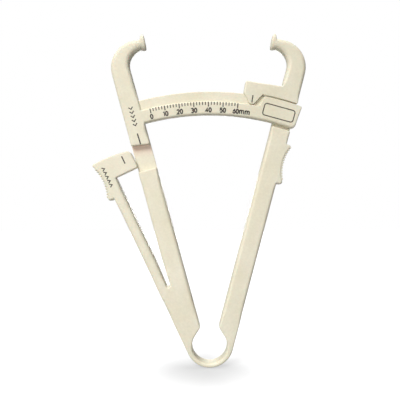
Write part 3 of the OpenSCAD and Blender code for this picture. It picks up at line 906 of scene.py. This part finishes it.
# ---------------------------------------------------------------- ribs of the rests
RIB_FOOT, RIB_TOP = 0.12, T - 0.15
RIB_R, RIB_PITCH, RIB_SIDES = 0.52, 1.5, 10


def ribs(f, centre, first, last):
    """Upright rods along a rest's hollow, numbered from its middle, in the frame R or V."""
    bm = bmesh.new()
    for i in range(first, last + 1):
        t = i * RIB_PITCH / REST_R
        x, y = centre[0] + REST_R * math.cos(t), centre[1] + REST_R * math.sin(t)
        ends = ((0, 0.5), (0.1, 0.85), (0.25, 1))
        rows = []
        for z, share in [(RIB_FOOT + d, k) for d, k in ends] + [(RIB_TOP - d, k) for d, k in reversed(ends)]:
            r, turns = RIB_R * share, [2 * math.pi * j / RIB_SIDES for j in range(RIB_SIDES)]
            rows.append([bm.verts.new((*f(x + r * math.cos(a), y + r * math.sin(a)), z)) for a in turns])
        skin(bm, rows)
    bmesh.ops.recalc_face_normals(bm, faces=bm.faces)
    return bm


extra = {
    "finger_rest_ribs": (ribs(R, FINGER_C, -6, 6), "moving_arm"),
    "thumb_rest_ribs": (ribs(V, THUMB_C, -6, 5), "press_lever"),
}

# ---------------------------------------------------------------- prints
INK_FOOT, INK_TOP = T - 0.02, T + 0.045
MITRE_LIMIT = 0.45


def ribbon(bm, pts, w, place, closed=False):
    """Thin solid stroke of width w along pts, through place(x, y) -> model mm. Its joints are mitred."""
    n = len(pts)
    rows = []
    for i in range(n):
        a = pts[i - 1] if (i > 0 or closed) else pts[i]
        b = pts[(i + 1) % n] if (i < n - 1 or closed) else pts[i]
        t1 = unit(sub(pts[i], a)) if a != pts[i] else unit(sub(b, pts[i]))
        t2 = unit(sub(b, pts[i])) if b != pts[i] else t1
        n1, n2 = (-t1[1], t1[0]), (-t2[1], t2[0])
        k = max(1 + n1[0] * n2[0] + n1[1] * n2[1], MITRE_LIMIT)
        m = ((n1[0] + n2[0]) / k * w / 2, (n1[1] + n2[1]) / k * w / 2)
        row = []
        for s, z in ((1, INK_FOOT), (1, INK_TOP), (-1, INK_TOP), (-1, INK_FOOT)):
            q = place(pts[i][0] + s * m[0], pts[i][1] + s * m[1])
            row.append(bm.verts.new((q[0], q[1], z)))
        rows.append(row)
    pairs = list(zip(rows, rows[1:])) + ([(rows[-1], rows[0])] if closed else [])
    for a, b in pairs:
        for j in range(4):
            bm.faces.new((a[j], b[j], b[(j + 1) % 4], a[(j + 1) % 4]))
    if not closed:
        bm.faces.new(rows[0])
        bm.faces.new(list(reversed(rows[-1])))


def curve(cx, cy, rx, ry, a0, a1, n):
    turns = [math.radians(a0 + (a1 - a0) * i / n) for i in range(n + 1)]
    return [(cx + rx * math.cos(t), cy + ry * math.sin(t)) for t in turns]


# Plain strokes in a box 1 high: (width of the box, [(points, closed)])
GLYPHS = {
    "0": (0.62, [(curve(0.31, 0.5, 0.25, 0.46, 90, 450, 18)[:-1], True)]),
    "1": (0.40, [([(0.08, 0.74), (0.27, 0.96), (0.27, 0.02)], False)]),
    "2": (0.62, [(curve(0.30, 0.71, 0.23, 0.25, 165, -25, 9) + [(0.06, 0.04), (0.57, 0.04)], False)]),
    "3": (0.62, [(curve(0.28, 0.73, 0.22, 0.23, 150, -80, 9)
                  + curve(0.28, 0.27, 0.26, 0.25, 80, -150, 10), False)]),
    "4": (0.66, [([(0.62, 0.28), (0.06, 0.28), (0.46, 0.96), (0.46, 0.02)], False)]),
    "5": (0.62, [([(0.54, 0.95), (0.16, 0.95), (0.11, 0.55)]
                  + curve(0.28, 0.32, 0.27, 0.29, 120, -140, 11), False)]),
    "6": (0.62, [([(0.46, 0.96), (0.13, 0.48)] + curve(0.31, 0.31, 0.25, 0.28, 160, -180, 16), False)]),
    "m": (0.92, [([(0.10, 0.02), (0.10, 0.68)], False),
                 ([(0.10, 0.46)] + curve(0.28, 0.48, 0.18, 0.19, 160, 0, 6) + [(0.46, 0.02)], False),
                 ([(0.46, 0.46)] + curve(0.64, 0.48, 0.18, 0.19, 160, 0, 6) + [(0.82, 0.02)], False)]),
}
GLYPH_SPACE = 0.1


def width_of(text):
    return sum(GLYPHS[c][0] + GLYPH_SPACE for c in text) - GLYPH_SPACE


def words(bm, text, height, line, place, centre=True):
    """Writes text along place's x, its middle or its start at x = 0."""
    x = -width_of(text) / 2 if centre else 0
    for c in text:
        for pts, closed in GLYPHS[c][1]:
            moved = [((px + x) * height, (py - 0.5) * height) for px, py in pts]
            ribbon(bm, moved, line, place, closed)
        x += GLYPHS[c][0] + GLYPH_SPACE


def reading_phi(g):
    """Direction of a reading in mm from the hinge axis: half of it, over the pads' distance, is a sine."""
    return -ZERO + 2 * math.degrees(math.asin(g / 2 / PAD_R))


def on_arc(phi, r):
    def place(x, y):
        return pol(r + y, phi + math.degrees(x / r))
    return place


SCALE_MAX, TICK_STEP, FIGURE_STEP = 60, 2, 10
TICK_TOP = RAIL_TOP - 0.4
FIGURE_H, FIGURE_LINE, FIGURE_R = 2.4, 0.7, 139.1
UNIT_H, UNIT_LINE, UNIT_R = 3.0, 0.66, 139.4
LAST_SHIFT = 0.33            # degrees by which the last figure makes room for the unit
LONG_TICK, SHORT_TICK = (2.6, 0.58), (1.7, 0.5)   # length and width

ticks = bmesh.new()
for g in range(0, SCALE_MAX + 1, TICK_STEP):
    tick_l, tick_w = LONG_TICK if g % FIGURE_STEP == 0 else SHORT_TICK
    ribbon(ticks, [(0, TICK_TOP - tick_l), (0, TICK_TOP)], tick_w,
           lambda x, y, phi=reading_phi(g): pol(y, phi + math.degrees(x / y)))

figures = bmesh.new()
for g in range(0, SCALE_MAX + 1, FIGURE_STEP):
    shift = LAST_SHIFT if g == SCALE_MAX else 0
    words(figures, str(g), FIGURE_H, FIGURE_LINE, on_arc(reading_phi(g) - shift, FIGURE_R))
unit_start = width_of(str(SCALE_MAX)) * FIGURE_H / 2 - 0.55
unit_phi = reading_phi(SCALE_MAX) + math.degrees(unit_start / FIGURE_R)
words(figures, "mm", UNIT_H, UNIT_LINE, on_arc(unit_phi, UNIT_R), centre=False)

BORDER_L, BORDER_H, BORDER_LINE, BORDER_R = 17.5, 7.0, 0.55, 1.3
BORDER_DROP = 0.55           # of its middle below the bridge's
half_l, half_h = BORDER_L / 2 - 0.25 - BORDER_R, BORDER_H / 2 - 0.25 - BORDER_R
border = bmesh.new()
loop = []
for sx, sy, a0 in ((1, 1, 0), (-1, 1, 90), (-1, -1, 180), (1, -1, 270)):
    loop += curve(sx * half_l, sy * half_h, BORDER_R, BORDER_R, a0, a0 + 90, 6)
ribbon(border, loop, BORDER_LINE,
       lambda x, y: rot((x, y + (RAIL + SCALE) / 2 - BORDER_DROP), -(BR0 + BR1) / 2), True)

ALIGN_LINE, INDEX_LINE, TIP_LINE = 0.7, 0.66, 0.6
INDEX_X, INDEX_LOW, INDEX_TOP = 5.68, 119.0, 123.4
ALIGN_ENDS = ((-4.55, 0.35), (-4.75, 6.4))    # x, and the height above the recess wall
CHEVRON_LINE, CHEVRONS = 0.55, 5
GUIDE_X, GUIDE_TOP, GUIDE_PITCH = -4.6, 145.9, 2.3
PRESS_X, PRESS_TOP, PRESS_PITCH = -6.95, 121.3, 2.4
align = bmesh.new()
ribbon(align, [(x, on_circle_y(Q_ARM, REC_R, x) + rise) for x, rise in ALIGN_ENDS], ALIGN_LINE, L)
guide = bmesh.new()
for k in range(CHEVRONS):
    x, y = GUIDE_X, GUIDE_TOP - GUIDE_PITCH * k
    ribbon(guide, [(x - 1.15, y + 1.0), (x, y - 0.2), (x + 1.15, y + 1.0)], CHEVRON_LINE, L)
index = bmesh.new()
ribbon(index, [(INDEX_X, INDEX_LOW), (INDEX_X, INDEX_TOP)], INDEX_LINE, V)
press = bmesh.new()
for k in range(CHEVRONS):
    x, y = PRESS_X, PRESS_TOP - PRESS_PITCH * k
    ribbon(press, [(x, y + 0.95), (x + 1.35, y), (x, y - 0.95)], CHEVRON_LINE, V)
tip_mark = bmesh.new()
ribbon(tip_mark, [(0, RAIL_TOP + 1.0), (0, RAIL_TOP + 5.0)], TIP_LINE, P)

prints = {
    "scale_ticks": (ticks, "fixed_arm", ["scale_ticks"]),
    "scale_figures": (figures, "fixed_arm", []),
    "bridge_border": (border, "fixed_arm", ["bridge_border"]),
    "align_mark": (align, "fixed_arm", ["align_mark"]),
    "align_chevrons": (guide, "fixed_arm", []),
    "press_mark": (index, "press_lever", ["press_mark"]),
    "press_chevrons": (press, "press_lever", []),
    "pointer_mark": (tip_mark, "moving_arm", ["pointer_mark"]),
}

# ---------------------------------------------------------------- objects
RIDERS = {
    "fixed_arm": ["left_arm", "left_jaw", "left_contact_pad", "scale_rail", "pointer_track", "guide_bridge"],
    "moving_arm": ["right_arm", "right_jaw", "right_contact_pad", "pointer_flag", "finger_rest"],
    "press_lever": ["press_beam", "press_head", "thumb_rest"]}
BODY = {piece: body for body, riders in RIDERS.items() for piece in riders}
ivory = plastic("ivory_moulding")
# the left arm's copy carries painted shade on its recess floor, below the wall
ivory_painted_shade = plastic("ivory_moulding_painted_shade", painted_shade=True)
for name, bm in pieces.items():
    o = mesh_object("mould_" + name, bm, ivory_painted_shade if name == "left_arm" else ivory)
    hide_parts(name)
    if name == "spring_hinge":
        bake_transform(o)
    elif name == "lever_flexure":
        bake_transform(o)
    else:
        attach(o, BODY[name])
for name, (bm, body) in extra.items():
    o = mesh_object(name, bm, ivory)
    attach(o, body)
for name, (bm, body, stands) in prints.items():
    bmesh.ops.recalc_face_normals(bm, faces=bm.faces)
    o = mesh_object("print_" + name, bm, ink)
    if stands:
        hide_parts(*stands)
    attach(o, body)

# ---------------------------------------------------------------- stage, lights, camera
scene = bpy.context.scene
scene.view_settings.view_transform = "Standard"

PAINTED_SHADOW_MIDDLE = (-0.003, 0.0, 0.008)  # middle of the painted shadow below the ring, where the floor's glow is dimmed
PAINTED_SHADOW_R, PAINTED_SHADOW_DARKEST = 0.048, 0.525
FLOOR_Y = -0.0016
FLOOR_X, FLOOR_FRONT, FLOOR_BACK = 0.6, 0.4, -0.9
FLOOR_GREY = (0.19, 0.1945, 0.201, 1)
AMBIENT, AMBIENT_STRENGTH = (1.0, 0.93, 0.84, 1), 0.085


def seen_directly(tree, path):
    """1 for the rays that see the white of the stage: the camera's, glossy and transmission rays."""
    by_eye = maths(tree, "MAXIMUM", path.outputs["Is Camera Ray"], path.outputs["Is Glossy Ray"])
    return maths(tree, "MAXIMUM", by_eye, path.outputs["Is Transmission Ray"])


def white_floor():
    """White where it is seen, with a painted shadow: its glow is dimmed to grey in a soft patch below the
    ring, where the ring's real shadow also falls; and a plain grey for the light that it sends back. From
    below it is clear, so that it doesn't hide the object in views from that side."""
    mat = bpy.data.materials.new("white_floor")
    tree = nodes_of(mat)
    bsdf = tree.nodes["Principled BSDF"]
    feed(tree, bsdf, "Base Color", FLOOR_GREY)
    feed(tree, bsdf, "Roughness", 0.9)
    matt = bsdf.outputs[0]
    place = node(tree, "TexCoord").outputs["Object"]
    shift = node(tree, "VectorMath", {0: place, 1: PAINTED_SHADOW_MIDDLE}, operation="SUBTRACT").outputs[0]
    squash = node(tree, "VectorMath", {0: shift, 1: (1.0, 0.0, 1.3)}, operation="MULTIPLY").outputs[0]
    away = node(tree, "VectorMath", {0: squash}, operation="LENGTH").outputs["Value"]
    # painted shadow: the glow is dimmed towards the middle of the patch below the ring
    painted_shadow = map_range(tree, away, 0.0, PAINTED_SHADOW_R, PAINTED_SHADOW_DARKEST, 1.0, interpolation_type="SMOOTHSTEP")
    glow = node(tree, "Emission", {"Strength": painted_shadow}).outputs[0]
    white = node(tree, "AddShader", {0: matt, 1: glow}).outputs[0]
    path = node(tree, "LightPath")
    upper = node(tree, "MixShader", {0: seen_directly(tree, path), 1: matt, 2: white}).outputs[0]
    side = node(tree, "NewGeometry").outputs["Backfacing"]
    below = maths(tree, "MULTIPLY", side, path.outputs["Is Camera Ray"])
    clear = node(tree, "BsdfTransparent").outputs[0]
    shown = node(tree, "MixShader", {0: below, 1: upper, 2: clear}).outputs[0]
    feed(tree, tree.nodes["Material Output"], "Surface", shown)
    return mat


floor_bm = bmesh.new()
for x, z in ((-FLOOR_X, FLOOR_FRONT), (FLOOR_X, FLOOR_FRONT), (FLOOR_X, FLOOR_BACK), (-FLOOR_X, FLOOR_BACK)):
    floor_bm.verts.new((x, FLOOR_Y, z))
floor_bm.faces.new(floor_bm.verts)
floor_me = bpy.data.meshes.new("floor")
floor_bm.to_mesh(floor_me)
floor_me.materials.append(white_floor())
floor = bpy.data.objects.new("floor", floor_me)
scene.collection.objects.link(floor)

world = bpy.data.worlds.new("studio")
scene.world = world
tree = nodes_of(world)
soft = tree.nodes["Background"]
feed(tree, soft, "Color", AMBIENT)
feed(tree, soft, "Strength", AMBIENT_STRENGTH)
white = node(tree, "Background", {"Color": (1, 1, 1, 1), "Strength": 1.0})
shown = node(tree, "MixShader", {0: seen_directly(tree, node(tree, "LightPath")), 1: soft.outputs[0],
                                 2: white.outputs[0]})
feed(tree, tree.nodes["World Output"], "Surface", shown.outputs[0])


def lamp(name, loc, aim, size, power, colour):
    d = bpy.data.lights.new(name, "AREA")
    d.shape = "SQUARE"
    d.size = size
    d.energy = power
    d.color = colour
    o = bpy.data.objects.new(name, d)
    scene.collection.objects.link(o)
    o.location = loc
    o.rotation_euler = (Vector(aim) - Vector(loc)).to_track_quat("-Z", "Y").to_euler()


MID = (-0.005, 0.09, 0.0)    # middle of the caliper
WARM = (1, 0.99, 0.97)
lamp("key", (-0.60, 1.13, 1.09), MID, 0.66, 23.4, (1, 0.987, 0.97))
lamp("fill", (-0.10, 0.05, 0.40), (-0.005, 0.03, 0.0), 0.20, 0.70, (1, 0.98, 0.96))
lamp("top", (0.0, 0.80, -0.02), (0.0, 0.0, 0.003), 0.26, 2.4, WARM)
lamp("rear", (-0.005, 0.12, -1.3), MID, 0.25, 4.5, WARM)   # for views of the back

LENS, SENSOR = 33.81, 36
CAM_AT = (-0.00491, 0.09016, (T + 204) * MM)  # straight above the caliper's middle
CAM_TURN = -0.00454          # and turned a little about its line of sight

cam_d = bpy.data.cameras.new("camera")
cam_d.sensor_width = SENSOR
cam_d.lens = LENS
cam_d.clip_start = 0.01
cam_d.clip_end = 10
cam = bpy.data.objects.new("camera", cam_d)
scene.collection.objects.link(cam)
cam.location = CAM_AT
cam.rotation_euler = (0, 0, CAM_TURN)
scene.camera = cam
